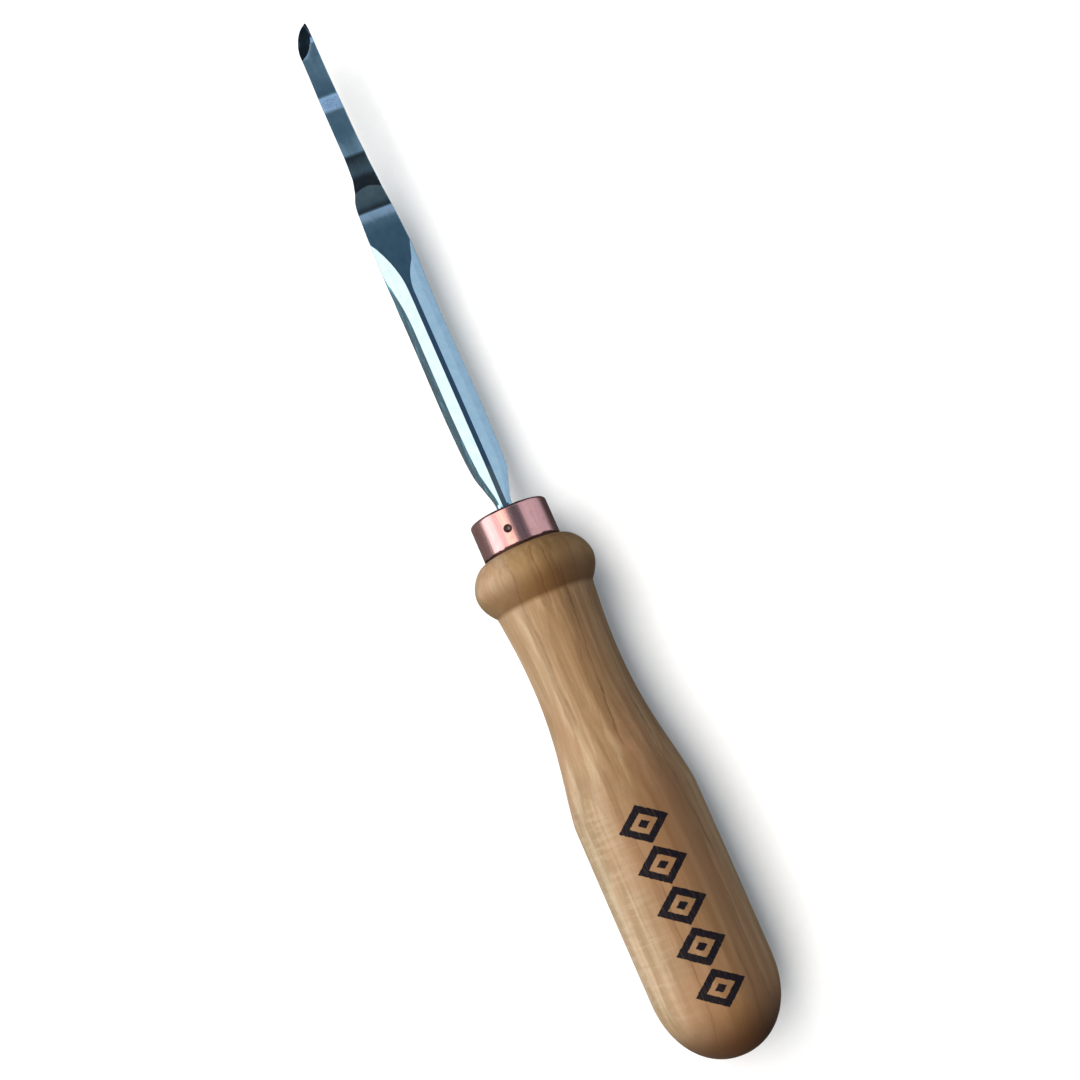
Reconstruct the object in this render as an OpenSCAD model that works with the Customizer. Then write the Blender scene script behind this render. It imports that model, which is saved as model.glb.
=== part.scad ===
// Carving gouge: a cranked, skew-nosed steel blade in a turned wooden handle.
// The tool lies along X, with its cutting edge towards +X and the back of the blade facing +Z.
// The origin is on the tool's axis, at the shoulder of the handle where the ferrule seats.

/* [Handle] */
// Length of the handle from the ferrule's shoulder to the butt
handle_len = 121; // [105:1:150]
// Largest diameter of the barrel
barrel_d = 29; // [26:0.5:34]
// Smallest diameter of the waist behind the bead
waist_d = 21.2; // [18:0.2:24]
// Diameter of the bead under the ferrule
bead_d = 28.8; // [26:0.2:34]
// Length of the bead along the handle
bead_len = 12.4; // [9:0.2:16]
// Length of the domed butt
dome_len = 17.5; // [12:0.5:22]

/* [Ferrule] */
// Outer diameter of the ferrule tube
ferrule_od = 18.6; // [18:0.1:21]
// Wall thickness of the ferrule tube
ferrule_wall = 1.3; // [1:0.1:1.5]
// Length of the ferrule
ferrule_len = 9.5; // [8:0.5:14]
// Radius of the ferrule's rounded rim
rim_r = 0.8; // [0.3:0.1:0.8]

/* [Ferrule pin] */
// Diameter of the pin's head
pin_head_d = 1.7; // [1.4:0.1:2.2]
// Diameter of the pin's shank
pin_shank_d = 1.2; // [0.8:0.1:1.3]
// Length of the pin's shank in the wood
pin_len = 4.5; // [2:0.5:5]
// Distance of the pin from the shoulder
pin_x = 4.5; // [3:0.1:5.5]
// Angle of the pin around the axis, from +Z towards +Y
pin_angle = 15.6; // [-180:0.1:180]

/* [Blade] */
// Length of the blade outside the ferrule
blade_len = 128; // [115:1:140]
// Width of the faceted shank
shank_w = 9.5; // [8:0.1:10]
// Thickness of the faceted shank
shank_t = 5.4; // [4.4:0.1:6]
// Width of the narrow stem at the cutting end
stem_w = 4.4; // [3.5:0.1:5.5]
// Thickness of the narrow stem
stem_t = 2.3; // [1.8:0.1:3]
// Height that the crank lifts the stem
crank_rise = 3.9; // [2:0.1:4.8]
// Depth of the hollow along the inner face of the stem
sweep = 0.5; // [0.2:0.1:0.8]
// Length of the round, skewed nose
nose_len = 9.8; // [7:0.1:12]
// Thickness left at the cutting edge
edge_t = 0.1; // [0.05:0.05:0.2]

/* [Tang] */
// Width of the square tang
tang_w = 3.2; // [2.6:0.1:3.6]
// Thickness of the square tang
tang_t = 3.9; // [3:0.1:4.2]
// Length of the tang behind the shoulder
tang_len = 36; // [25:1:60]

/* [Hidden] */
$fn = 96;
arc_steps = 12;

ferrule_r = ferrule_od / 2;
tenon_r = ferrule_r - ferrule_wall;
tenon_end = ferrule_len - 0.4;
barrel_r = barrel_d / 2;
waist_r = waist_d / 2;
bead_r = bead_d / 2;
bead_crown = 0.53 * bead_len;
groove_r = 0.816 * bead_r;
waist_x = 0.25 * handle_len;
barrel_x = 0.5 * handle_len;
barrel_fall = 0.15;
dome_r = barrel_r - barrel_fall;
dome_x = handle_len - dome_len;

socket_r = norm([tang_w, tang_t]) / 2;
socket_depth = tang_len + 1;
pin_seat_r = tenon_r;
pin_top_r = ferrule_r - 0.15;
pin_gap = 0.15;

function clamp(t) = min(1, max(0, t));
function smooth(t) = let (u = clamp(t)) u * u * (3 - 2 * u);
function mix(a, b, t) = a + (b - a) * t;
function superellipse(u, p) = pow(max(0, 1 - pow(u, p)), 1 / p);
function bezier(p, t) =
    p[0] * pow(1 - t, 3) + p[1] * 3 * t * pow(1 - t, 2)
    + p[2] * 3 * t * t * (1 - t) + p[3] * pow(t, 3);

// ---- Handle: half outline as [radius, distance behind the shoulder] ----

function bead_front() = [for (i = [0:arc_steps])
    let (u = cos(90 * i / arc_steps))
    [ferrule_r + (bead_r - ferrule_r) * superellipse(u, 1.75), bead_crown * (1 - u)]];

function bead_back() = [for (i = [1:arc_steps])
    let (u = i / arc_steps)
    [mix(bead_r, groove_r, pow(u, 2)), mix(bead_crown, bead_len, u)]];

function waist_front() = [for (i = [1:arc_steps])
    bezier([[groove_r, bead_len], [groove_r - 0.4, bead_len + 4],
        [waist_r, waist_x - 8], [waist_r, waist_x]], i / arc_steps)];

function waist_back() = [for (i = [1:arc_steps])
    bezier([[waist_r, waist_x], [waist_r, waist_x + 14.5],
        [barrel_r - 1.6, barrel_x - 8.5], [barrel_r - 0.1, barrel_x - 0.2]], i / arc_steps)];

function barrel() = [for (i = [0:arc_steps])
    let (u = i / arc_steps)
    [barrel_r - barrel_fall * u * u, mix(barrel_x, dome_x, u)]];

function dome() = [for (i = [1:arc_steps])
    let (u = sin(90 * i / arc_steps))
    [dome_r * superellipse(u, 2.1), dome_x + dome_len * u]];

module handle() {
    color("#b08c62")
    difference() {
        rotate([0, -90, 0])
        rotate_extrude()
        polygon(concat(
            [[0, -tenon_end], [tenon_r - 0.3, -tenon_end], [tenon_r, 0.3 - tenon_end], [tenon_r, 0]],
            bead_front(), bead_back(), waist_front(), waist_back(), barrel(), dome()));
        translate([-socket_depth, 0, 0])
        rotate([0, 90, 0])
        cylinder(r = socket_r, h = socket_depth + ferrule_len);
        pin_frame() cylinder(d = pin_shank_d, h = 2 * ferrule_r);
    }
}

// ---- Ferrule and its pin ----

// Places a child that points along +Z on the pin's axis, with its origin at the pin's inner end.
module pin_frame() {
    rotate([-pin_angle, 0, 0])
    translate([pin_x, 0, pin_seat_r - pin_len])
    children();
}

function rim_arc() = [for (i = [0:6])
    let (a = 15 * i)
    [ferrule_r - rim_r + rim_r * cos(a), ferrule_len - rim_r + rim_r * sin(a)]];

module ferrule() {
    color("#c98f86")
    difference() {
        rotate([0, 90, 0])
        rotate_extrude()
        polygon(concat([[tenon_r, 0], [ferrule_r, 0]], rim_arc(), [[tenon_r, ferrule_len]]));
        pin_frame() cylinder(d = pin_head_d + 2 * pin_gap, h = 2 * ferrule_r);
    }
}

module ferrule_pin() {
    color("#4a3a34")
    pin_frame() {
        cylinder(d = pin_shank_d, h = pin_len);
        translate([0, 0, pin_len])
        cylinder(d = pin_head_d, h = pin_top_r - pin_seat_r);
    }
}

// ---- Blade: cross-sections swept along X, all heights and widths worked out from x ----

rim_x = ferrule_len;
tip_x = rim_x + blade_len;
flare_start = rim_x + 56;
flare_end = rim_x + 71.5;
crank_start = rim_x + 78.5;
crank_knee = crank_start + 5.6;
crank_end = crank_start + 13;
shoulder_end = crank_start + 11;
nose_x = tip_x - nose_len;
tang_point = 6;

left_taper = [crank_start + 1, 8.5];
right_taper = [crank_start - 4, 17];
neck_part = 0.92;
root_part = 1.16;
ridge_part = 0.125;
facet_part = 0.7;
facet_drop = 0.16 * shank_t;
side_drop = 0.37 * shank_t;
crown = 0.2;
round_over = 0.3;
heel_power = 0.27;
point_fall = 0.7 * stem_t;

function crank_lift(x) = crank_rise
    * (0.35 * clamp((x - crank_start) / (crank_knee - crank_start))
    + 0.65 * clamp((x - crank_knee) / (crank_end - crank_knee)));

function tang_scale(x) = mix(0.25, 1, clamp((x + tang_len) / tang_point));

// Half width of the blade, where the side's taper to the stem is given as [start, length].
function half_width(x, taper) = x <= rim_x
    ? tang_w / 2 * tang_scale(x)
    : tang_w / 2
        + (neck_part * shank_w - tang_w) / 2 * smooth((x - rim_x - 1.5) / 12)
        + (1 - neck_part) / 2 * shank_w * smooth((x - rim_x - 10) / 18)
        - 0.08 * shank_w * smooth((x - flare_end + 7) / 15)
        - (0.84 * shank_w - root_part * stem_w) / 2 * smooth((x - taper[0]) / taper[1])
        - (root_part - 1) / 2 * stem_w * clamp((x - shoulder_end) / (nose_x - shoulder_end));

// Height of the blade's back, its thickness, and the height of its inner face.
function back_z(x) = x <= rim_x
    ? tang_t / 2 * tang_scale(x)
    : mix(tang_t, shank_t, smooth((x - rim_x) / 13)) / 2 + crank_lift(x);

function thickness(x) = x <= rim_x
    ? 2 * back_z(x)
    : mix(tang_t, shank_t, smooth((x - rim_x) / 13))
        - 0.2 * shank_t * smooth((x - flare_end + 6) / (crank_start - flare_end + 6))
        - (0.8 * shank_t - stem_t) * smooth((x - crank_start - 1) / 14);

// Facets fade in along the neck and run out again in the flare before the crank.
function facet_fade(x) = x <= rim_x
    ? 0
    : smooth((x - rim_x) / 3) * (1 - smooth((x - flare_start) / (flare_end - flare_start)));

function ridge(x) = mix(facet_part - 0.05, ridge_part, facet_fade(x));

// Fall of the surface below the back, at a part f of the half width (0 centre, 1 side).
function facet_fall(f, x) = let (r = ridge(x), d = facet_drop * facet_fade(x))
    f <= r ? 0
    : f <= facet_part ? d * (f - r) / (facet_part - r)
    : mix(d, mix(x <= rim_x ? 0 : round_over, side_drop, facet_fade(x)), (f - facet_part) / (1 - facet_part));

function back_fall(f, x) = facet_fall(f, x) + crown * f * f * smooth((x - crank_end) / 6);

function hollow(f, x) = sweep * (1 - f * f) * smooth((x - crank_end) / 8);

// The nose: its rounded left outline, and the heel where the bevel meets the back.
function nose_u(x) = clamp((x - nose_x) / nose_len);
function left_side(x) = half_width(x, left_taper);
function right_y(x) = -half_width(x, right_taper);
function left_y(x) = mix(right_y(x), left_side(x), superellipse(nose_u(x), 1.9));
function heel_y(x) = mix(left_side(x), right_y(x), pow(nose_u(x), heel_power));

function across(f, x) = mix(right_y(x), left_y(x), (f + 1) / 2);

function inner_z(f, x) = back_z(x) - thickness(x) + facet_fall(abs(f), x) + hollow(f, x);

function plain_back_z(f, x) = back_z(x) - back_fall(abs(f), x)
    - point_fall * smooth((nose_u(x) - 0.4) / 0.6);

function bevel_z(f, x) = let (y = across(f, x), h = heel_y(x))
    x <= nose_x || y <= h
    ? plain_back_z(f, x)
    : mix(plain_back_z(f, x), inner_z(f, x) + edge_t, clamp((y - h) / (left_y(x) - h)));

function outer_z(f, x) = max(inner_z(f, x) + edge_t, bevel_z(f, x));

function parts(x) = let (r = ridge(x), m = (r + facet_part) / 2)
    [1, facet_part, m, r, -r, -m, -facet_part, -1];

function section(x) = concat(
    [for (f = parts(x)) [x, across(f, x), outer_z(f, x)]],
    [for (f = parts(x)) [x, across(-f, x), inner_z(-f, x)]]);

// Stations along the blade, close together where the shape turns.
function span(a, b, n) = [for (i = [0:n - 1]) mix(a, b, i / n)];
stations = concat(
    span(-tang_len, -tang_len + tang_point, 1),
    span(-tang_len + tang_point, rim_x, 2),
    span(rim_x, rim_x + 28, 14),
    span(rim_x + 28, flare_start, 2),
    span(flare_start, flare_end, 8),
    span(flare_end, crank_start, 3),
    span(crank_start, crank_knee, 3),
    span(crank_knee, crank_end, 4),
    span(crank_end, crank_end + 8, 4),
    span(crank_end + 8, nose_x, 3),
    [for (i = [0:14]) nose_x + (nose_len - 0.02) * sin(6 * i + 5.99)]);

ring = 16;

module blade() {
    last = len(stations) - 1;
    points = [for (x = stations) each section(x)];
    sides = [for (i = [0:last - 1], j = [0:ring - 1])
        let (a = i * ring + j, b = i * ring + (j + 1) % ring)
        each [[a, b, b + ring], [a, b + ring, a + ring]]];
    caps = [for (j = [0:ring / 2 - 2])
        let (a = j, b = j + 1, c = ring - 2 - j, d = ring - 1 - j, e = last * ring)
        each [[a, d, c], [a, c, b], [e + a, e + c, e + d], [e + a, e + b, e + c]]];
    color("#6d8796")
    polyhedron(points, concat(sides, caps));
}

handle();
ferrule();
ferrule_pin();
blade();
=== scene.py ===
import math

import bpy
import numpy as np
from mathutils import Matrix, Vector


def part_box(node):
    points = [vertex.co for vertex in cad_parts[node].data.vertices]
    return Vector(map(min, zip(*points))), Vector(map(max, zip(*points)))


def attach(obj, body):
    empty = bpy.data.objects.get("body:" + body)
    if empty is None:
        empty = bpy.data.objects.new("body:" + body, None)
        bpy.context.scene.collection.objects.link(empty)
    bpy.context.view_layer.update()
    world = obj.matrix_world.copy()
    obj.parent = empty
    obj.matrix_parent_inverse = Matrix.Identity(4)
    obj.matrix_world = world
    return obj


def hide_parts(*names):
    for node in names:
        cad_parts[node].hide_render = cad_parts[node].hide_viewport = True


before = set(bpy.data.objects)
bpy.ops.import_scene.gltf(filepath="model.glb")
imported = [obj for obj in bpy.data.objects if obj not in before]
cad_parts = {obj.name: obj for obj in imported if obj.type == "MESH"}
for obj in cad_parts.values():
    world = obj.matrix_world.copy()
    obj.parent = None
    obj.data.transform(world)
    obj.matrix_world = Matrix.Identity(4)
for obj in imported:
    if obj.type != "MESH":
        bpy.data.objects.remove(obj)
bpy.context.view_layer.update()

MM = 0.001

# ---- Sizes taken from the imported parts, in millimetres ----

HANDLE_LO, HANDLE_HI = (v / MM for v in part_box("handle"))
FERRULE_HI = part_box("ferrule")[1] / MM
BLADE_LO, BLADE_HI = (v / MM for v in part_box("blade"))

BUTT_X = HANDLE_LO.x
TENON_X = HANDLE_HI.x
BARREL_R = min(HANDLE_HI.y, HANDLE_HI.z)
FERRULE_R = FERRULE_HI.z
FERRULE_LEN = FERRULE_HI.x
TENON_R = FERRULE_R - 1.3
TIP_X = BLADE_HI.x
TANG_X = BLADE_LO.x
TANG_HALF_W = 1.6
TANG_HALF_T = 1.95
SOCKET_R = math.hypot(TANG_HALF_W, TANG_HALF_T)


# ---- Small numeric helpers ----

def clamp(t):
    return np.clip(t, 0.0, 1.0)


def smooth(t):
    u = clamp(t)
    return u * u * (3 - 2 * u)


def mix(a, b, t):
    return a + (b - a) * t


def bezier(a, b, c, d, t):
    """Cubic curve from a to d, drawn towards b and c, at the parameters t."""
    return a * (1 - t) ** 3 + b * 3 * t * (1 - t) ** 2 + c * 3 * t * t * (1 - t) + d * t ** 3


def bezier_points(a, b, c, d, n):
    """The n points that follow a on a curve through plane points."""
    t = np.linspace(0, 1, n + 1)[1:, None]
    return bezier(*(np.array(point, float) for point in (a, b, c, d)), t)


def mesh_object(name, points_mm, faces, material, smooth_angle=40):
    mesh = bpy.data.meshes.new(name)
    mesh.from_pydata((np.asarray(points_mm) * MM).tolist(), [], faces)
    mesh.validate()
    mesh.update()
    mesh.shade_smooth()
    mesh.set_sharp_from_angle(angle=math.radians(smooth_angle))
    mesh.materials.append(material)
    piece = bpy.data.objects.new(name, mesh)
    bpy.context.scene.collection.objects.link(piece)
    return piece


def stands_for(piece, node):
    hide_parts(node)
    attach(piece, "root")
    return piece


def tube_faces(rings, around):
    """Quads between consecutive closed rings of points."""
    i, j = np.meshgrid(np.arange(rings - 1), np.arange(around), indexing="ij")
    a = i * around + j
    b = i * around + (j + 1) % around
    return np.stack([a, b, b + around, a + around], -1).reshape(-1, 4).tolist()


# ---- Node graphs: every value is a number, a tuple or a socket ----

class Graph:
    def __init__(self, tree):
        self.tree = tree
        tree.nodes.clear()

    def feed(self, socket, value):
        if isinstance(value, bpy.types.NodeSocket):
            self.tree.links.new(value, socket)
        elif value is not None:
            socket.default_value = value

    def node(self, kind, inputs=(), **settings):
        made = self.tree.nodes.new("ShaderNode" + kind)
        for key, value in settings.items():
            setattr(made, key, value)
        for key, value in dict(inputs).items():
            self.feed(made.inputs[key], value)
        return made

    def math(self, operation, a, b=None, c=None, clamped=False):
        made = self.node("Math", operation=operation, use_clamp=clamped)
        for socket, value in zip(made.inputs, (a, b, c)):
            self.feed(socket, value)
        return made.outputs[0]

    def add(self, a, b):
        return self.math("ADD", a, b)

    def mul(self, a, b):
        return self.math("MULTIPLY", a, b)

    def step(self, value, low, high):
        """0 below low, 1 above high, smooth between; low may be the larger."""
        made = self.node("MapRange", {"Value": value, "From Min": low, "From Max": high},
                         interpolation_type="SMOOTHSTEP")
        return made.outputs[0]

    def scale(self, vector, factors):
        made = self.node("VectorMath", operation="MULTIPLY")
        self.feed(made.inputs[0], vector)
        self.feed(made.inputs[1], factors)
        return made.outputs[0]

    def split(self, vector):
        return self.node("SeparateXYZ", {"Vector": vector}).outputs

    def noise(self, vector, scale=1.0, detail=3.0, roughness=0.5, distortion=0.0):
        """Noise from 0 to 1, its middle at 0.5."""
        made = self.node("TexNoise", {"Vector": vector, "Scale": scale, "Detail": detail,
                                      "Roughness": roughness, "Distortion": distortion})
        return made.outputs[0]

    def ramp(self, value, stops):
        """Colour by value; stops are (position, colour) with positions from 0 to 1."""
        made = self.node("ValToRGB", {"Fac": value})
        elements = made.color_ramp.elements
        while len(elements) < len(stops):
            elements.new(0.5)
        for element, (position, colour) in zip(elements, stops):
            element.position = position
            element.color = (*colour, 1.0)
        return made.outputs[0]

    def blend(self, a, b, factor, blend_type="MIX"):
        made = self.node("Mix", {0: factor, 6: colour4(a), 7: colour4(b)},
                         data_type="RGBA", blend_type=blend_type)
        return made.outputs[2]

    def blend_value(self, a, b, factor):
        return self.node("Mix", {0: factor, 2: a, 3: b}, data_type="FLOAT").outputs[0]

    def bump(self, height, distance_mm, strength=1.0, normal=None):
        made = self.node("Bump", {"Height": height, "Distance": distance_mm * MM,
                                  "Strength": strength, "Normal": normal})
        return made.outputs[0]


def colour4(value):
    return (*value, 1.0) if isinstance(value, tuple) and len(value) == 3 else value


def material_graph(name):
    """A new material, its graph, its principled shader and its object coordinates in mm."""
    material = bpy.data.materials.new(name)
    material.use_nodes = True
    g = Graph(material.node_tree)
    shader = g.node("BsdfPrincipled")
    output = g.node("OutputMaterial")
    g.feed(output.inputs["Surface"], shader.outputs[0])
    here = g.scale(g.node("TexCoord").outputs["Object"], (1000.0, 1000.0, 1000.0))
    return material, g, shader, here


# ---- Camera ----

CAMERA_AT = Vector((-59.2, 50.0, 380.0))
CAMERA_TARGET = Vector((0.67, -4.39, 0.0))
CAMERA_ROLL = math.radians(23.8)
CAMERA_LENS = 56.58


def make_camera():
    """Looks down at the tool from the butt's side, with the blade pointing up and left."""
    forward = (CAMERA_TARGET - CAMERA_AT).normalized()
    right = forward.cross(Vector((1, 0, 0))).normalized()
    up = right.cross(forward)
    rolled_up = up * math.cos(CAMERA_ROLL) + right * math.sin(CAMERA_ROLL)
    rolled_right = forward.cross(rolled_up)
    data = bpy.data.cameras.new("camera")
    data.sensor_width = 36.0
    data.lens = CAMERA_LENS
    data.clip_start = 0.01
    data.clip_end = 50.0
    camera = bpy.data.objects.new("camera", data)
    bpy.context.scene.collection.objects.link(camera)
    turn = Matrix((rolled_right, rolled_up, -forward)).transposed().to_4x4()
    camera.matrix_world = Matrix.Translation(CAMERA_AT * MM) @ turn
    bpy.context.scene.camera = camera


# ---- Stage: pale floor and wall, one soft key light and a studio world ----

FLOOR_HALF = 4000.0


def paper_material():
    material, g, shader, here = material_graph("floor_paper")
    speck = g.noise(here, 0.4, 2.0)
    g.feed(shader.inputs["Base Color"], g.ramp(speck, [(0.3, (0.93, 0.93, 0.93)), (0.7, (0.95, 0.95, 0.95))]))
    shader.inputs["Roughness"].default_value = 0.9
    shader.inputs["Specular IOR Level"].default_value = 0.1
    return material


def make_floor(material):
    half, z = FLOOR_HALF, -BARREL_R
    floor = mesh_object("floor", [(-half, -half, z), (half, -half, z), (half, half, z), (-half, half, z)],
                        [(0, 1, 2, 3)], material)
    floor.visible_glossy = False


def make_backdrop(material, around=96):
    """A round pale wall at the floor's edge; the studio's light passes through it."""
    angle = np.arange(around) * 2 * math.pi / around
    x, y = FLOOR_HALF * 0.95 * np.cos(angle), FLOOR_HALF * 0.95 * np.sin(angle)
    points = np.concatenate([np.stack([x, y, 0 * x + z], -1) for z in (-BARREL_R, FLOOR_HALF)])
    wall = mesh_object("backdrop", points, tube_faces(2, around), material)
    wall.visible_diffuse = False
    wall.visible_glossy = False
    wall.visible_shadow = False


def make_key_light():
    """A long softbox above and to the left of the tool."""
    data = bpy.data.lights.new("key", "AREA")
    data.shape = "RECTANGLE"
    data.size = 0.75
    data.size_y = 0.30
    data.energy = 3.7
    light = bpy.data.objects.new("key", data)
    bpy.context.scene.collection.objects.link(light)
    place = Vector((0.06, 0.26, 0.56))
    light.visible_glossy = False
    aim = (Vector((0.04, 0, 0)) - place).normalized()
    across = Vector((1, 0, 0))
    across = (across - aim * across.dot(aim)).normalized()
    turn = Matrix((across, (-aim).cross(across), -aim)).transposed().to_4x4()
    light.matrix_world = Matrix.Translation(place) @ turn


def grey(v):
    return (v, v, v)


def make_world():
    """Brightness by the angle around the tool's axis, with a dark gap overhead and one strip ahead."""
    world = bpy.data.worlds.new("studio")
    bpy.context.scene.world = world
    world.use_nodes = True
    g = Graph(world.node_tree)
    x, y, z = g.split(g.node("TexCoord").outputs["Generated"])
    around = g.add(g.mul(g.math("ARCTAN2", y, z), 0.5 / math.pi), 0.5)
    ahead = g.add(g.mul(g.math("ARCTAN2", x, z), 0.5 / math.pi), 0.5)

    def turn(degrees):
        return 0.5 + degrees / 360.0

    tent = g.ramp(around, [
        (turn(-112), grey(0.06)), (turn(-97), (0.56, 0.64, 0.71)), (turn(-31), (0.70, 0.78, 0.83)),
        (turn(-27), grey(0.05)), (turn(6), grey(0.05)), (turn(11), (0.9, 1.15, 1.2)),
        (turn(17), (1.8, 1.55, 1.30)),
        (turn(36), (2.1, 1.8, 1.5)), (turn(42), grey(1.0)), (turn(55), grey(1.0)), (turn(61), grey(2.0)),
        (turn(90), grey(2.0)), (turn(93), (0.24, 0.85, 0.90)), (turn(97), (0.17, 0.18, 0.17))])
    gap = g.ramp(ahead, [
        (turn(-40), grey(0.022)), (turn(-12), (0.022, 0.021, 0.024)), (turn(-8), (0.055, 0.062, 0.068)),
        (turn(-5), (0.085, 0.11, 0.12)), (turn(-2), (0.14, 0.155, 0.15)), (turn(4), (0.12, 0.14, 0.15)),
        (turn(10), (0.05, 0.085, 0.13)), (turn(17), (0.05, 0.085, 0.13)), (turn(22), (0.094, 0.144, 0.17)),
        (turn(26), (0.12, 0.17, 0.20)), (turn(31), (0.38, 0.43, 0.48)), (turn(37), (0.56, 0.66, 0.84)),
        (turn(46), (0.56, 0.66, 0.84)), (turn(50), (0.012, 0.018, 0.024))])
    in_gap = g.mul(g.step(around, turn(-31), turn(-26)), g.step(around, turn(12), turn(7)))
    ends = g.mul(g.step(g.math("ABSOLUTE", x), 0.62, 0.80), g.math("SUBTRACT", 1.0, in_gap))
    light = g.blend(g.blend(tent, gap, in_gap), (0.012, 0.018, 0.024), ends)
    background = g.node("Background", {"Color": light, "Strength": 1.0})
    output = g.node("OutputWorld")
    g.feed(output.inputs["Surface"], background.outputs[0])


# ---- Handle ----

HANDLE_SIDES = 256
BEAD_LEN = 12.4
DOME_LEN = 17.5
BARREL_FALL = 0.12
SOCKET_DEPTH = 12.0
TENON_CHAMFER = 0.3


def turned_solid(outline, around, start_x, end_x):
    """Revolves (x, radius) pairs about the X axis and closes both ends with fans to axis points."""
    x, radius = outline.T
    angle = np.arange(around) * 2 * math.pi / around
    points = np.stack([
        np.repeat(x, around),
        (radius[:, None] * np.sin(angle)).ravel(),
        (radius[:, None] * np.cos(angle)).ravel()], -1)
    faces = tube_faces(len(outline), around)
    start = len(points)
    last = start - around
    for j in range(around):
        k = (j + 1) % around
        faces.append((k, j, start))
        faces.append((last + j, last + k, start + 1))
    return np.concatenate([points, [(start_x, 0, 0), (end_x, 0, 0)]]), faces


def superellipse(u, p):
    return np.maximum(0.0, 1 - u ** p) ** (1 / p)


def handle_outline():
    """Half outline (x, radius) from the socket's floor, over the tenon, to the butt."""
    length = -BUTT_X
    bead_r = 0.9931 * (BARREL_R + 0.03)
    crown = 0.53 * BEAD_LEN
    groove_r = 0.816 * bead_r
    waist_r, waist_x = 0.731 * BARREL_R, 0.25 * length
    barrel_x = 0.5 * length
    dome_x = length - DOME_LEN

    t = np.linspace(0, 1, 33)
    u = np.cos(t * math.pi / 2)
    front = np.stack([crown * (1 - u), FERRULE_R + (bead_r - FERRULE_R) * superellipse(u, 1.75)], -1)
    v = t[1:]
    back = np.stack([mix(crown, BEAD_LEN, v), mix(bead_r, groove_r, v ** 2)], -1)
    waist = np.concatenate([
        bezier_points((BEAD_LEN, groove_r), (BEAD_LEN + 4, groove_r - 0.4),
                      (waist_x - 8, waist_r), (waist_x, waist_r), 40),
        bezier_points((waist_x, waist_r), (waist_x + 14.5, waist_r),
                      (barrel_x - 6.5, BARREL_R - 0.95), (barrel_x + 1.5, BARREL_R - 0.05), 60)])
    barrel = np.stack([mix(barrel_x + 2.5, dome_x, t), BARREL_R - BARREL_FALL * t * t], -1)
    s = np.sin(v[:-1] * math.pi / 2)
    dome = np.stack([dome_x + DOME_LEN * s, (BARREL_R - BARREL_FALL) * superellipse(s, 2.1)], -1)
    behind = np.concatenate([front, back, waist, barrel, dome])
    behind[:, 0] *= -1
    tenon = [(TENON_X, SOCKET_R), (TENON_X, TENON_R - TENON_CHAMFER),
             (TENON_X - TENON_CHAMFER, TENON_R), (0.0, TENON_R)]
    socket = [(TENON_X - SOCKET_DEPTH, SOCKET_R)]
    return np.concatenate([socket, tenon, behind])


def make_handle(material):
    outline = handle_outline()
    points, faces = turned_solid(outline, HANDLE_SIDES, outline[0][0], BUTT_X)
    piece = mesh_object("turned_handle", points, faces, material, 50)
    return stands_for(piece, "handle")


# ---- Ferrule pin ----

PIN_ANGLE = math.radians(15.6)
PIN_X = 4.5
PIN_HEAD_R = 0.9
PIN_SHANK_R = 0.6
PIN_LEN = 4.4
PIN_SUNK = 0.12
PIN_CUP_DEPTH = 0.6
PIN_SIDES = 48


def make_pin(material):
    """A cupped head, sunk just below the ferrule's surface, on a plain shank."""
    t = np.linspace(0, 1, 13)[1:]
    cup_r, floor = PIN_HEAD_R - 0.08, FERRULE_R - PIN_CUP_DEPTH - PIN_SUNK
    cup = [(floor + PIN_CUP_DEPTH * a ** 2.4, cup_r * a) for a in t]
    rim = [(FERRULE_R - PIN_SUNK, PIN_HEAD_R - 0.03), (FERRULE_R - PIN_SUNK - 0.05, PIN_HEAD_R)]
    seat = TENON_R - 0.05
    shank = [(seat, PIN_HEAD_R), (seat, PIN_SHANK_R), (TENON_R - PIN_LEN, PIN_SHANK_R)]
    outline = np.array(cup + rim + shank)
    points, faces = turned_solid(outline, PIN_SIDES, floor, outline[-1][0])
    ahead, side, up = points.T
    points = np.stack([PIN_X + up, side * math.cos(PIN_ANGLE) + ahead * math.sin(PIN_ANGLE),
                       ahead * math.cos(PIN_ANGLE) - side * math.sin(PIN_ANGLE)], -1)
    piece = mesh_object("domed_pin", points, faces, material, 40)
    return stands_for(piece, "ferrule_pin")


# ---- Blade ----

CRANK_X = 88.0
KNEE_X = 93.6
STEM_X = 101.0
NOSE_LEN = 9.8
NOSE_X = TIP_X - NOSE_LEN
RIM_X = FERRULE_LEN
TANG_POINT = 6.0
SHANK_T = 5.4
STEM_T = 2.3
EDGE_T = 0.1
HOLLOW_DEPTH = 0.5
RIM_TURN = 0.14
TUCK = 0.24
RIDGE_HALF = 0.58
STEM_CROWN = 0.1
UPPER_SLOPE = math.tan(math.radians(15.5))
OUTER_LEFT_SLOPE = math.tan(math.radians(53))
OUTER_RIGHT_SLOPE = math.tan(math.radians(41))
OUTER_LEFT_PART = 0.69
OUTER_RIGHT_PART = 0.585

# Where the upper and the outer facets start to run out, and the grinding wheel's radius there.
LEFT_RUN_OUTS = ((66, 90), (57, 68))
RIGHT_RUN_OUTS = ((66, 40), (66, 32))

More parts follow.
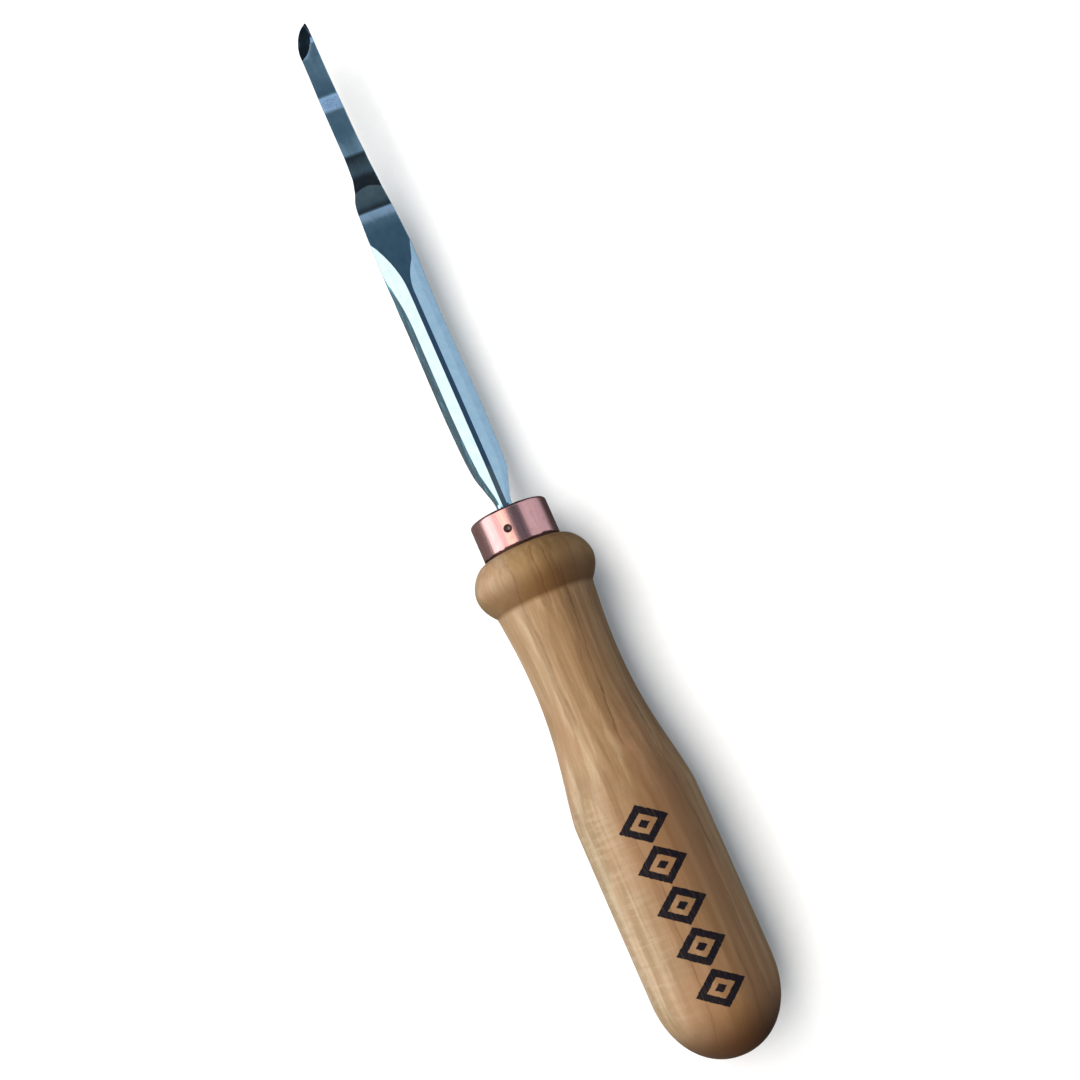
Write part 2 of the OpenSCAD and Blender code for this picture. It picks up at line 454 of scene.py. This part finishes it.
# Outlines seen from above, as (x, distance from the axis); a smooth curve runs through them.
LEFT_SIDE = ((RIM_X, 1.6), (12, 1.75), (16, 2.75), (20, 3.85), (26, 4.35), (37, 4.6), (60, 4.5),
             (74, 4.75), (80, 4.7), (87, 4.35), (89.6, 4.25), (91.8, 3.95), (94, 3.1), (96.5, 2.5),
             (100, 2.4), (112, 2.4), (NOSE_X, 2.2))
RIGHT_SIDE = ((RIM_X, 1.6), (12, 1.9), (16, 3.1), (20, 4.3), (26, 4.6), (37, 4.75), (60, 4.6),
              (74, 4.8), (79, 4.6), (88, 4.1), (94, 3.5), (100, 2.85), (106, 2.6), (118, 2.45),
              (125, 2.35), (TIP_X, 2.4))

# Slope of the back along the blade, as (x, degrees, rising towards the tip).
KNEE_SLOPE = 17.8
CREASE = 0.05
BACK_SLOPE = ((82.5, 0), (85, -2), (86.3, -5), (CRANK_X, -5.5), (CRANK_X + CREASE, 16.5), (89.6, 13.3),
              (KNEE_X, 11.8), (KNEE_X + CREASE, KNEE_SLOPE), (95.6, 17.2), (96.9, 14.0), (98.5, 14.8),
              (STEM_X, 17), (STEM_X + CREASE, -2.5), (107, 0),
              (112.6, 0), (114, -8), (116.4, -8), (118, 2), (122, 0))


def curve_through(points, x):
    """Monotone cubic curve through (x, y) points."""
    px, py = np.array(points, float).T
    step, slope = np.diff(px), np.diff(py) / np.diff(px)
    before, after = slope[:-1], slope[1:]
    same_way = before * after > 0
    mean = np.where(same_way, 2 * before * after / np.where(same_way, before + after, 1), 0)
    tangent = np.concatenate([[0], mean, [0]])
    i = np.clip(np.searchsorted(px, x, side="right") - 1, 0, len(px) - 2)
    t = clamp((x - px[i]) / step[i])
    return (py[i] * (1 + 2 * t) * (1 - t) ** 2 + tangent[i] * step[i] * t * (1 - t) ** 2
            + py[i + 1] * t * t * (3 - 2 * t) - tangent[i + 1] * step[i] * t * t * (1 - t))


def climb(x):
    """Height that the slopes of the back add up to."""
    grid = np.linspace(80, TIP_X, 4000)
    at, degrees = np.array(BACK_SLOPE, float).T
    rise = np.tan(np.radians(np.interp(grid, at, degrees)))
    height = np.concatenate([[0], np.cumsum((rise[1:] + rise[:-1]) / 2 * np.diff(grid))])
    return np.interp(x, grid, height)


def body_thickness(x):
    return mix(2 * TANG_HALF_T, SHANK_T, smooth((x - RIM_X) / 13))


def back_z(x):
    return body_thickness(x) / 2 + climb(x)


def thickness(x):
    return (body_thickness(x) - 0.2 * SHANK_T * smooth((x - 75) / 13)
            - (0.8 * SHANK_T - STEM_T) * smooth((x - CRANK_X - 1) / 14))


def tang_scale(x):
    return mix(0.25, 1, clamp((x - TANG_X) / TANG_POINT))


def run_out(x, start, radius):
    """Height of a grinding wheel's arc that lifts a facet out of the metal."""
    return np.maximum(0, x - start) ** 2 / (2 * radius)


def facets(x, side, outer_part, outer_slope, upper_run_out, outer_run_out):
    """One side's facets: edges of the flat ridge and of the outer facet, and a depth function."""
    upper_lift, outer_lift = run_out(x, *upper_run_out), run_out(x, *outer_run_out)
    ridge = np.minimum(RIDGE_HALF, 0.36 * side)
    turn_y = outer_part * side
    turn_depth = (turn_y - ridge) * UPPER_SLOPE
    outer_zero = turn_y + (outer_lift - turn_depth) / outer_slope
    inner = np.minimum(ridge + upper_lift / UPPER_SLOPE, outer_zero)
    outer = turn_y + (outer_lift - upper_lift) / (outer_slope - UPPER_SLOPE)

    def depth(y):
        upper = (y - ridge) * UPPER_SLOPE - upper_lift
        outside = turn_depth + (y - turn_y) * outer_slope - outer_lift
        return np.maximum(0, np.maximum(upper, outside))
    limit = side - 0.45
    inner = np.minimum(inner, limit - 0.1)
    return inner, np.clip(outer, inner + 0.05, limit), depth


def spread(a, b, n, evenly):
    """Columns from a up to b, close together at both ends where evenly is 0."""
    t = np.arange(n) / n
    return mix(a[:, None], b[:, None], mix(smooth(t), t, evenly[:, None]))


RIM_COLUMNS = 6
COLUMN_COUNTS = (9, 15, 8, 14, 9)


def columns(edges, rim_left, rim_right, evenly):
    """Positions across every station, from the left edge to the right one."""
    turn = np.arange(RIM_COLUMNS) / RIM_COLUMNS * math.pi / 2
    left = edges[0][:, None] - rim_left[:, None] * (1 - np.cos(turn))
    right = edges[-1][:, None] + rim_right[:, None] * (1 - np.sin(turn))
    inner = [edges[0] - rim_left, *edges[1:-1], edges[-1] + rim_right]
    middle = [spread(a, b, n, evenly) for a, b, n in zip(inner[:-1], inner[1:], COLUMN_COUNTS)]
    last = edges[-1][:, None]
    return np.concatenate([left, *middle, right, last], 1)


def rim_drop(y, left, right, rim_left, rim_right):
    """Depth of the quarter-round arrises along both sides."""
    def quarter(distance, radius):
        r = np.maximum(radius, 1e-6)[:, None]
        inside = clamp(1 - distance / r)
        return r * (1 - np.sqrt(1 - inside ** 2))
    return quarter(left[:, None] - y, rim_left) + quarter(y + right[:, None], rim_right)


def stem_hollow(f, x):
    return HOLLOW_DEPTH * (1 - f * f) * smooth((x - STEM_X) / 8)


def body_sections():
    """Plan and height of the back and of the inner face for the stations before the nose."""
    stretches = [[TANG_X, TANG_X + TANG_POINT, 0.0], np.arange(RIM_X, 30, 0.35),
                 np.arange(30, 56, 0.8), np.arange(56, 82, 0.3), np.arange(82, CRANK_X, 0.25), [CRANK_X],
                 np.linspace(CRANK_X + CREASE, KNEE_X, 26), np.linspace(KNEE_X + CREASE, STEM_X, 32),
                 np.linspace(STEM_X + CREASE, NOSE_X, 90)]
    x = np.concatenate(stretches)
    outside = x >= RIM_X
    left = np.where(outside, curve_through(LEFT_SIDE, x), TANG_HALF_W * tang_scale(x))
    right = np.where(outside, curve_through(RIGHT_SIDE, x), TANG_HALF_W * tang_scale(x))
    tang = np.where(outside, 1, tang_scale(x))

    fade = smooth((x - RIM_X) / 2.5)
    rim = mix(0.05, RIM_TURN, smooth((x - 60) / 20)) * np.where(outside, 1, 0.5)
    rim_left = rim * mix(1, 0.3, smooth((x - 78) / 8)) * (1 - smooth((x - 116) / (NOSE_X - 116)))
    l_in, l_out, l_depth = facets(x, left, OUTER_LEFT_PART, OUTER_LEFT_SLOPE, *LEFT_RUN_OUTS)
    r_in, r_out, r_depth = facets(x, right, OUTER_RIGHT_PART, OUTER_RIGHT_SLOPE, *RIGHT_RUN_OUTS)
    to_nose = smooth((x - 104) / (NOSE_X - 104))
    shares = np.cumsum(COLUMN_COUNTS[1:4]) / sum(COLUMN_COUNTS[1:])
    even_edges = [left - 0.02, *(mix(left - 0.02, rim - right, share) for share in shares)]
    edges = [mix(a, b, to_nose) for a, b in zip((l_out, l_in, -r_in, -r_out), even_edges)]
    y = columns([left, *edges, -right], rim_left, rim, to_nose)

    depth = np.where(y >= 0, depths_at(y, l_depth), depths_at(-y, r_depth)) * fade[:, None]
    under = depth * 0.9
    f = (2 * y - (left - right)[:, None]) / (left + right)[:, None]
    xs, lift = bow_knee(x[:, None], y)
    drop = rim_drop(y, left, right, rim_left, rim)
    crown = STEM_CROWN * f * f * smooth((x[:, None] - STEM_X) / 6)
    plain = (body_thickness(x) / 2 * tang)[:, None] + climb(xs) + lift
    top = plain - depth - drop - crown
    low = plain - (thickness(x) * tang)[:, None] + under + drop + stem_hollow(f, x[:, None])
    tuck = TUCK * thickness(x) * smooth((x - 62) / 16)
    y_low = y - tuck[:, None] * f
    return xs, y, y_low, top, np.minimum(low, top - EDGE_T)


def depths_at(y, depth):
    """The facets' depth at every column of every station."""
    return np.stack([depth(column) for column in y.T], 1)


def bow_knee(x, y):
    """Bows the knee's edge back at the sides: moves the stations and lifts what lies behind it."""
    start, end = CRANK_X + CREASE, STEM_X
    knee = KNEE_X - 0.09 * y * y
    steep = math.tan(math.radians(KNEE_SLOPE))
    gap = climb(knee) - (climb(KNEE_X) - steep * (KNEE_X - knee))
    first = knee - (KNEE_X - x) * (knee - start) / (KNEE_X - start)
    second = end - (end - x) * (end - knee) / (end - KNEE_X)
    in_first = (x > start) & (x <= KNEE_X)
    in_second = (x > KNEE_X) & (x < end)
    moved = np.where(in_first, first, np.where(in_second, second, x + 0 * y))
    behind = climb(KNEE_X) - steep * (KNEE_X - moved) - climb(moved)
    lift = np.where(moved < KNEE_X, behind, 0) + gap * (1 - smooth((moved - knee) / (end - knee)))
    return moved, np.where(in_second, lift, 0)


def nose_sections():
    """Stations fan out across the bevel, from its heel to the round cutting edge."""
    s = np.linspace(0, 0.997, 90)[1:]
    heel_x = bezier(NOSE_X, NOSE_X + 1.9, NOSE_X + 3.1, TIP_X, s)
    right = curve_through(RIGHT_SIDE, heel_x)
    point_y = -RIGHT_SIDE[-1][1]
    start_y = LEFT_SIDE[-1][1]
    heel_y = bezier(start_y, -0.9, -1.9, point_y, s)
    angle = s ** 0.6 * math.pi / 2
    edge_x = NOSE_X + NOSE_LEN * np.sin(angle)
    edge_y = point_y + (start_y - point_y) * np.cos(angle) ** 1.2

    bevel_n = RIM_COLUMNS + COLUMN_COUNTS[0]
    flat_n = sum(COLUMN_COUNTS[1:])
    up_bevel = np.arange(bevel_n) / bevel_n
    turn = np.arange(RIM_COLUMNS) / RIM_COLUMNS * math.pi / 2
    rim = np.minimum(RIM_TURN * (1 - s ** 3), 0.4 * (heel_y + right))
    y = np.concatenate([
        mix(edge_y[:, None], heel_y[:, None], up_bevel),
        mix(heel_y[:, None], (rim - right)[:, None], np.arange(flat_n) / flat_n),
        rim[:, None] * (1 - np.sin(turn)) - right[:, None],
        -right[:, None]], 1)
    x = np.concatenate([mix(edge_x[:, None], heel_x[:, None], up_bevel),
                        np.repeat(heel_x[:, None], y.shape[1] - bevel_n, 1)], 1)

    f = (2 * y - (edge_y - right)[:, None]) / (edge_y + right)[:, None]
    u = (x - NOSE_X) / NOSE_LEN
    droop = 0.7 * smooth((u - 0.35) / 0.5) + 1.4 * clamp((u - 0.7) / 0.3) ** 2
    back = back_z(x) - STEM_CROWN * f * f * (1 - u) - droop
    inner = back_z(x) - STEM_T + stem_hollow(f, x) * (1 - 0.6 * u)
    heel_z = back[:, bevel_n]
    reach = np.hypot(edge_x - heel_x, edge_y - heel_y)
    edge_z = np.maximum(inner[:, 0] + EDGE_T, heel_z - 0.5 * reach)
    on_bevel = mix(edge_z[:, None], heel_z[:, None], up_bevel)
    flat = back[:, bevel_n:] - rim_drop(y[:, bevel_n:], 99 + 0 * s, right, rim, rim)
    top = np.maximum(np.concatenate([on_bevel, flat], 1), inner + EDGE_T)
    tuck_left = TUCK * (edge_z - inner[:, 0])[:, None] * (1 + f) / 2
    tuck_right = TUCK * (top - inner)[:, -1:] * (1 - f) / 2
    return x, y, y - tuck_left + tuck_right, top, inner


def make_blade(material):
    body, nose = body_sections(), nose_sections()
    x, y, y_low, top, low = (np.concatenate(pair) for pair in zip(body, nose))
    upper = np.stack([x, y, top], -1)
    lower = np.stack([x, y_low, low], -1)[:, ::-1]
    rings = np.concatenate([upper, lower], 1)
    stations, around = rings.shape[:2]
    faces = tube_faces(stations, around)
    half = around // 2
    last = (stations - 1) * around
    for j in range(half - 1):
        k = around - 1 - j
        faces.append((j, k, k - 1, j + 1))
        faces.append((last + j, last + j + 1, last + k - 1, last + k))
    piece = mesh_object("forged_blade", rings.reshape(-1, 3), faces, material, 35)
    return stands_for(piece, "blade")


# ---- Materials ----

# The stamped row: where it starts, the length and number of its diamonds, half their width.
INK_START = -62.3
INK_PITCH = 9.4
INK_COUNT = 5
INK_HALF_WIDTH = 5.9


def ink_mask(g, here, x, y, z):
    """A row of stamped diamonds along the barrel: hollow outlines with a small solid heart."""
    along = g.math("SUBTRACT", INK_START, x)
    in_row = g.mul(g.math("GREATER_THAN", along, 0.0), g.math("LESS_THAN", along, INK_PITCH * INK_COUNT))
    u = g.math("ABSOLUTE", g.math("SUBTRACT", g.math("FRACT", g.mul(along, 1 / INK_PITCH)), 0.5))
    arc = g.mul(g.math("ARCTAN2", y, z), BARREL_R)
    centre = g.add(2.05, g.mul(along, -0.028))
    v = g.math("ABSOLUTE", g.math("SUBTRACT", arc, centre))
    ragged = g.mul(g.math("SUBTRACT", g.noise(here, 1.6, 3.0, 0.6), 0.5), 0.13)
    reach = g.add(g.add(g.mul(u, 2.14), g.mul(v, 1 / INK_HALF_WIDTH)), ragged)
    outline = g.mul(g.step(reach, 1.03, 0.99), g.step(reach, 0.54, 0.58))
    heart = g.step(reach, 0.26, 0.22)
    return g.mul(in_row, g.math("MAXIMUM", outline, heart))


# Dark growth lines along the handle: x at both ends, y at both ends, half width, strength.
GROWTH_LINES = ((1.0, -42.0, 6.4, 6.2, 0.50, 0.50), (0.5, -16.0, 0.3, 0.7, 0.35, 0.70),
                (0.5, -14.0, 1.6, 1.8, 1.30, 0.42), (0.5, -14.0, -2.1, -1.9, 0.35, 0.70),
                (0.5, -15.0, -3.4, -3.3, 1.40, 0.50), (0.5, -13.0, -8.0, -7.6, 0.60, 0.40),
                (-6.0, -50.0, -4.6, -0.9, 0.44, 0.75), (-14.0, -46.0, -3.2, 1.4, 0.30, 0.40),
                (-24.0, -60.0, 3.6, 3.0, 0.30, 0.35), (-38.0, -78.0, -7.4, -10.3, 0.42, 0.75),
                (-70.0, -113.0, -9.2, -8.6, 0.36, 0.60), (-50.0, -92.0, 5.6, 4.4, 0.34, 0.40),
                (-78.0, -118.0, 3.6, 5.4, 0.40, 0.50), (-96.0, -117.0, -6.0, -5.2, 0.34, 0.50))

# Painted light and shade across the handle: darker on its right (0), lighter on its left (1), as if lit from
# the left.
PAINTED_SIDE_LIGHT = ((0.0, (0.60, 0.57, 0.50)), (0.10, (0.47, 0.41, 0.34)), (0.30, (0.40, 0.34, 0.27)),
                        (0.44, (0.53, 0.47, 0.40)), (0.56, (0.64, 0.59, 0.53)), (0.72, (0.70, 0.69, 0.67)),
                        (0.88, (0.73, 0.77, 0.80)), (1.0, (0.77, 0.86, 0.94)))


def growth_line(g, x, plane, line):
    """One thin dark line with a softer dark band beside it."""
    start, end, y_start, y_end, half_width, strength = line
    course = g.node("MapRange", {"Value": x, "From Min": start, "From Max": end,
                                 "To Min": y_start, "To Max": y_end}).outputs[0]
    off = g.math("SUBTRACT", plane, course)
    thin = g.step(g.math("ABSOLUTE", off), half_width, 0.0)
    band = g.mul(g.mul(g.step(off, 2.4, 0.0), g.step(off, -0.2, 0.0)), 0.35)
    inside = g.mul(g.step(x, start, start - 4.0), g.step(x, end - 3.0, end + 4.0))
    return g.mul(g.mul(g.math("MAXIMUM", thin, band), inside), strength)


def wood_lines(g, here, x, y, z):
    """Depth of the growth lines' darkening, strong and faint ones together."""
    drift = g.noise(g.scale(here, (0.02, 0.06, 0.06)), 1.0, 2.0)
    waver = g.noise(g.scale(here, (0.09, 0.30, 0.30)), 1.0, 3.0)
    shake = g.math("SUBTRACT", waver, 0.5)
    plane = g.add(y, g.mul(shake, 2.2))
    strong = 0.0
    for line in GROWTH_LINES:
        strong = g.math("MAXIMUM", strong, growth_line(g, x, plane, line))
    wide_plane = g.add(g.add(y, g.mul(z, 0.4)), g.add(g.mul(drift, 11.0), g.mul(shake, 1.6)))
    ring = g.math("FRACT", g.mul(wide_plane, 1 / 3.1))
    faint = g.mul(g.step(ring, 0.25, 0.95), g.step(ring, 1.0, 0.955))
    return strong, faint


def plain_wood(g, here, streak, fibre, pore, faint):
    """Colour of the timber itself: streaks, patches, pores and fibres."""
    patch = g.noise(g.scale(here, (0.035, 0.08, 0.08)), 1.0, 2.0)
    blotch = g.noise(g.scale(here, (0.10, 0.20, 0.20)), 1.0, 3.0, 0.6)
    lamella = g.noise(g.scale(here, (0.010, 0.34, 0.34)), 1.0, 2.0, 0.5)
    base = g.ramp(streak, [(0.28, (0.36, 0.225, 0.115)), (0.50, (0.46, 0.305, 0.170)),
                           (0.72, (0.56, 0.405, 0.255))])
    base = g.blend(base, (0.56, 0.310, 0.180), g.mul(g.step(patch, 0.45, 0.66), 0.60))
    base = g.blend(base, (0.34, 0.24, 0.125), g.mul(g.step(blotch, 0.50, 0.70), 0.50))
    base = g.blend(base, (0.28, 0.155, 0.070), g.mul(faint, 0.34))
    base = g.blend(base, (0.31, 0.175, 0.075), g.mul(g.step(lamella, 0.46, 0.60), 0.34))
    base = g.blend(base, (0.62, 0.47, 0.31), g.mul(g.step(lamella, 0.46, 0.36), 0.30))
    base = g.blend(base, (0.19, 0.105, 0.050), g.mul(g.step(pore, 0.60, 0.74), 0.40))
    return g.blend(base, (0.30, 0.185, 0.095), g.mul(g.step(fibre, 0.54, 0.74), 0.36))


def wood_by_place_and_shade(g, base, ripple, x, y):
    """What differs from place to place: rippled left side, amber barrel and butt, brown bead, and painted
    shade on the bead's back half down into the groove.
    """
    barrel_left = g.mul(g.step(y, 0.0, 8.0), g.step(x, -52.0, -62.0))
    crest = g.mul(g.step(ripple, 0.50, 0.66), barrel_left)
    trough = g.mul(g.step(ripple, 0.46, 0.34), barrel_left)
    base = g.blend(base, (0.62, 0.48, 0.33), g.mul(crest, 0.22))
    base = g.blend(base, (0.33, 0.22, 0.12), g.mul(trough, 0.26))
    amber = g.mul(g.step(x, -48.0, -66.0), g.step(g.math("ABSOLUTE", y), 12.0, 6.0))
    base = g.blend(base, (0.30, 0.155, 0.070), g.mul(amber, 0.50))
    on_bead = g.mul(g.step(x, -13.2, -11.5), g.step(y, 9.5, 3.0))
    base = g.blend(base, (0.36, 0.235, 0.085), g.mul(on_bead, 0.45))
    # Painted shade: the bead's back half, from behind its crown down into the groove, is darkened to a deep
    # brown.
    bead_back_shade = g.mul(g.step(x, -4.5, -10.0), g.step(x, -13.6, -12.2))
    base = g.blend(base, (0.21, 0.105, 0.036), g.mul(bead_back_shade, 0.85))
    base = g.blend(base, (0.34, 0.185, 0.080), g.mul(g.step(x, -98.0, -112.0), 0.55))
    return g.blend(base, (0.105, 0.044, 0.015), g.mul(g.step(x, -107.0, -118.5), 0.96))


def wood_material():
    material, g, shader, here = material_graph("oiled_hardwood")
    x, y, z = g.split(here)
    strong, faint = wood_lines(g, here, x, y, z)
    streak = g.noise(g.scale(here, (0.028, 0.95, 0.95)), 1.0, 4.0, 0.6)
    fibre = g.noise(g.scale(here, (0.14, 4.2, 4.2)), 1.0, 3.0, 0.65)
    pore = g.noise(g.scale(here, (0.30, 8.0, 8.0)), 1.0, 2.0, 0.5)
    ripple = g.noise(g.scale(here, (0.95, 0.16, 0.16)), 1.0, 2.0, 0.5, 0.3)

    base = plain_wood(g, here, streak, fibre, pore, faint)
    base = wood_by_place_and_shade(g, base, ripple, x, y)
    dirt = g.add(0.40, g.mul(g.step(fibre, 0.35, 0.65), 0.60))
    base = g.blend(base, (0.125, 0.056, 0.020), g.mul(strong, dirt))
    # Painted light and shade: the wood is darkened towards the handle's right side and kept lighter on its
    # left, as if lit from the left.
    across = g.math("MULTIPLY_ADD", y, 0.5 / BARREL_R, 0.5)
    base = g.blend(base, g.ramp(across, PAINTED_SIDE_LIGHT), 1.0, "MULTIPLY")
    ink = ink_mask(g, here, x, y, z)
    worn = g.mul(ink, g.add(0.80, g.mul(g.step(pore, 0.68, 0.58), 0.20)))
    base = g.blend(base, (0.006, 0.005, 0.008), worn)
    g.feed(shader.inputs["Base Color"], base)

    rough = g.add(0.38, g.mul(g.add(fibre, g.mul(streak, 0.5)), 0.14))
    g.feed(shader.inputs["Roughness"], g.blend_value(rough, 0.50, ink))
    g.feed(shader.inputs["Specular IOR Level"], g.blend_value(0.30, 0.08, ink))
    grain = g.add(g.mul(fibre, 0.5), g.mul(strong, -0.6))
    relief = g.add(grain, g.add(g.mul(pore, -0.7), g.mul(ripple, 0.3)))
    g.feed(shader.inputs["Normal"], g.bump(relief, 0.05, 0.7))
    return material


def copper_material():
    material, g, shader, here = material_graph("copper_tube")
    streak = g.noise(g.scale(here, (0.12, 3.2, 3.2)), 1.0, 4.0, 0.6)
    stain = g.noise(here, 0.35, 4.0, 0.6)
    base = g.ramp(streak, [(0.30, (0.80, 0.38, 0.37)), (0.55, (0.88, 0.47, 0.46)),
                           (0.80, (0.92, 0.56, 0.56))])
    base = g.blend(base, (0.55, 0.25, 0.22), g.mul(g.step(stain, 0.52, 0.74), 0.45))
    x, y, z = g.split(here)
    # Painted shade: the copper turns almost black along its base at the bead, where the narrow gap between
    # ferrule and bead lies in shadow.
    gap_shade = g.step(g.add(x, g.mul(g.math("SUBTRACT", stain, 0.5), 1.6)), 1.0, 0.6)
    base = g.blend(base, (0.035, 0.014, 0.010), g.mul(gap_shade, 0.95))
    g.feed(shader.inputs["Base Color"], base)
    shader.inputs["Metallic"].default_value = 1.0
    g.feed(shader.inputs["Roughness"], g.add(g.add(0.17, g.mul(streak, 0.14)), g.mul(gap_shade, 0.3)))
    g.feed(shader.inputs["Normal"], g.bump(streak, 0.02, 0.35))
    return material


def steel_material():
    material, g, shader, here = material_graph("ground_steel")
    along = g.noise(g.scale(here, (0.35, 7.0, 7.0)), 1.0, 4.0, 0.6)
    cloud = g.noise(here, 0.45, 4.0, 0.6)
    base = g.ramp(cloud, [(0.3, (0.40, 0.59, 0.74)), (0.7, (0.48, 0.66, 0.82))])
    g.feed(shader.inputs["Base Color"], base)
    shader.inputs["Metallic"].default_value = 1.0
    g.feed(shader.inputs["Roughness"], g.add(0.06, g.mul(along, 0.10)))
    wave = g.noise(g.scale(here, (0.16, 0.7, 0.7)), 1.0, 2.0, 0.5)
    scratches = g.bump(along, 0.008, 0.25)
    x, y, z = g.split(here)
    coarse_band = g.mul(g.step(x, 112.4, 114.2), g.step(x, 117.6, 116.2))
    grit = g.bump(g.mul(g.noise(here, 3.2, 2.0, 0.6), coarse_band), 0.06, 0.8, scratches)
    g.feed(shader.inputs["Normal"], g.bump(wave, 0.10, 0.5, grit))
    return material


def pin_material():
    material, g, shader, here = material_graph("dull_pin_steel")
    cloud = g.noise(here, 2.5, 4.0, 0.6)
    base = g.ramp(cloud, [(0.3, (0.13, 0.085, 0.08)), (0.7, (0.32, 0.23, 0.22))])
    g.feed(shader.inputs["Base Color"], base)
    shader.inputs["Metallic"].default_value = 1.0
    g.feed(shader.inputs["Roughness"], g.add(0.25, g.mul(cloud, 0.3)))
    return material


bpy.context.scene.view_settings.view_transform = "Standard"
make_camera()
paper = paper_material()
make_floor(paper)
make_backdrop(paper)
make_key_light()
make_world()
wood = wood_material()
copper = copper_material()
steel = steel_material()
pin_steel = pin_material()
make_handle(wood)
make_blade(steel)
make_pin(pin_steel)
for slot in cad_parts["ferrule"].material_slots:
    slot.material = copper
